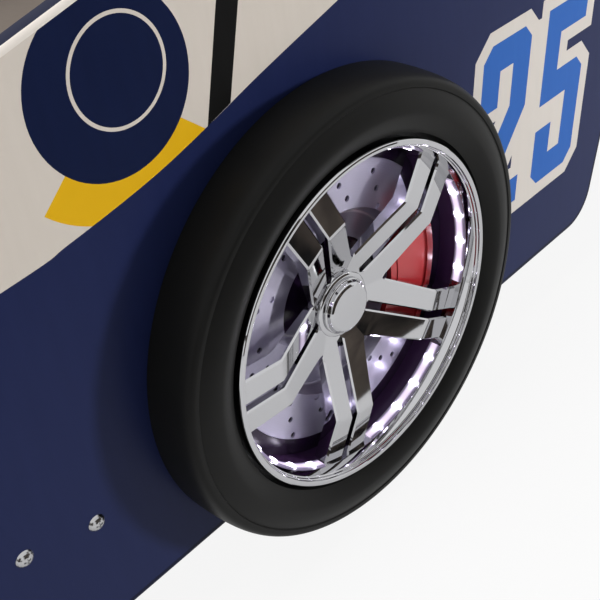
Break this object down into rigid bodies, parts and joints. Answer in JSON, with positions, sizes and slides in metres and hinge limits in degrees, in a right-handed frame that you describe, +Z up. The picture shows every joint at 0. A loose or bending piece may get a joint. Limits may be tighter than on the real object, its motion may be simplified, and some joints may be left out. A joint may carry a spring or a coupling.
{
  "type": "car bed for children",
  "caption": "Racing-car bed for children, with printed side panels, lit plated wheels, a slatless board base for a 90 by 190 cm mattress and a rocker switch for the wheel lights.",
  "frame": {"origin": "centre of the footprint, on the floor", "axes": "+X along the bed towards its tail, +Z up, and -Y out of the left side panel"},
  "size_m": [2.2499, 1.0432, 0.622],
  "materials": {
    "printed_panel": "fibreboard with a printed satin foil in navy, cream and yellow",
    "navy_board": "fibreboard with a satin navy foil",
    "cream_board": "fibreboard with a satin cream foil",
    "pine_rail": "planed pine",
    "grey_brown_board": "chipboard with a matt grey-brown foil",
    "black_foot": "moulded, matt",
    "bolt_steel": "nickel-plated, polished dome",
    "zinc_steel": "zinc-plated",
    "dark_housing": "fine-textured moulding",
    "grey_rocker": "smooth moulding",
    "black_dish": "glossy black moulding",
    "black_tyre": "satin black moulding, not rubber",
    "plated_plastic": "chromium-plated plastic",
    "disc_metal": "plated plastic, brushed",
    "red_calliper": "moulded, semi-gloss",
    "lit_strip": "milky diffuser, lit"
  },
  "bodies": {
    "bed": {"side_panel_left": "printed_panel", "side_panel_right": "printed_panel", "front_panel": "navy_board", "bonnet_board": "cream_board", "footboard": "navy_board", "headboard": "navy_board", "boot_board": "cream_board", "rear_panel": "navy_board", "base_rail_left": "pine_rail", "base_rail_right": "pine_rail", "cross_rail_foot_end": "pine_rail", "cross_rail_front": "pine_rail", "cross_rail_rear": "pine_rail", "cross_rail_head_end": "pine_rail", "base_board_front": "grey_brown_board", "base_board_middle": "grey_brown_board", "base_board_rear": "grey_brown_board", "foot_front_left": "black_foot", "foot_front_right": "black_foot", "foot_rear_left": "black_foot", "foot_rear_right": "black_foot", "foot_centre_front": "black_foot", "foot_centre_rear": "black_foot", "panel_bolts": "bolt_steel", "rail_nuts": "zinc_steel", "wheel_screws": "zinc_steel", "corner_brackets": "zinc_steel", "frame_screws": "zinc_steel", "power_box": "dark_housing", "switch_box": "dark_housing", "wheel_dish_rear_left": "black_dish", "tyre_rear_left": "black_tyre", "rim_rear_left": "plated_plastic", "hub_cap_rear_left": "plated_plastic", "brake_disc_rear_left": "disc_metal", "calliper_rear_left": "red_calliper", "light_strip_rear_left": "lit_strip", "wheel_dish_rear_right": "black_dish", "tyre_rear_right": "black_tyre", "rim_rear_right": "plated_plastic", "hub_cap_rear_right": "plated_plastic", "brake_disc_rear_right": "disc_metal", "calliper_rear_right": "red_calliper", "light_strip_rear_right": "lit_strip", "wheel_dish_front_left": "black_dish", "tyre_front_left": "black_tyre", "rim_front_left": "plated_plastic", "hub_cap_front_left": "plated_plastic", "brake_disc_front_left": "disc_metal", "calliper_front_left": "red_calliper", "light_strip_front_left": "lit_strip", "wheel_dish_front_right": "black_dish", "tyre_front_right": "black_tyre", "rim_front_right": "plated_plastic", "hub_cap_front_right": "plated_plastic", "brake_disc_front_right": "disc_metal", "calliper_front_right": "red_calliper", "light_strip_front_right": "lit_strip"},
    "rocker": {"switch_rocker": "grey_rocker"}
  },
  "joints": [
    {"name": "rocker_tilt", "type": "hinge", "parent": "bed", "child": "rocker", "pos_m": [0.865, -0.442, 0.426], "axis": [1, 0, 0], "range_deg": [0, 16]}
  ]
}
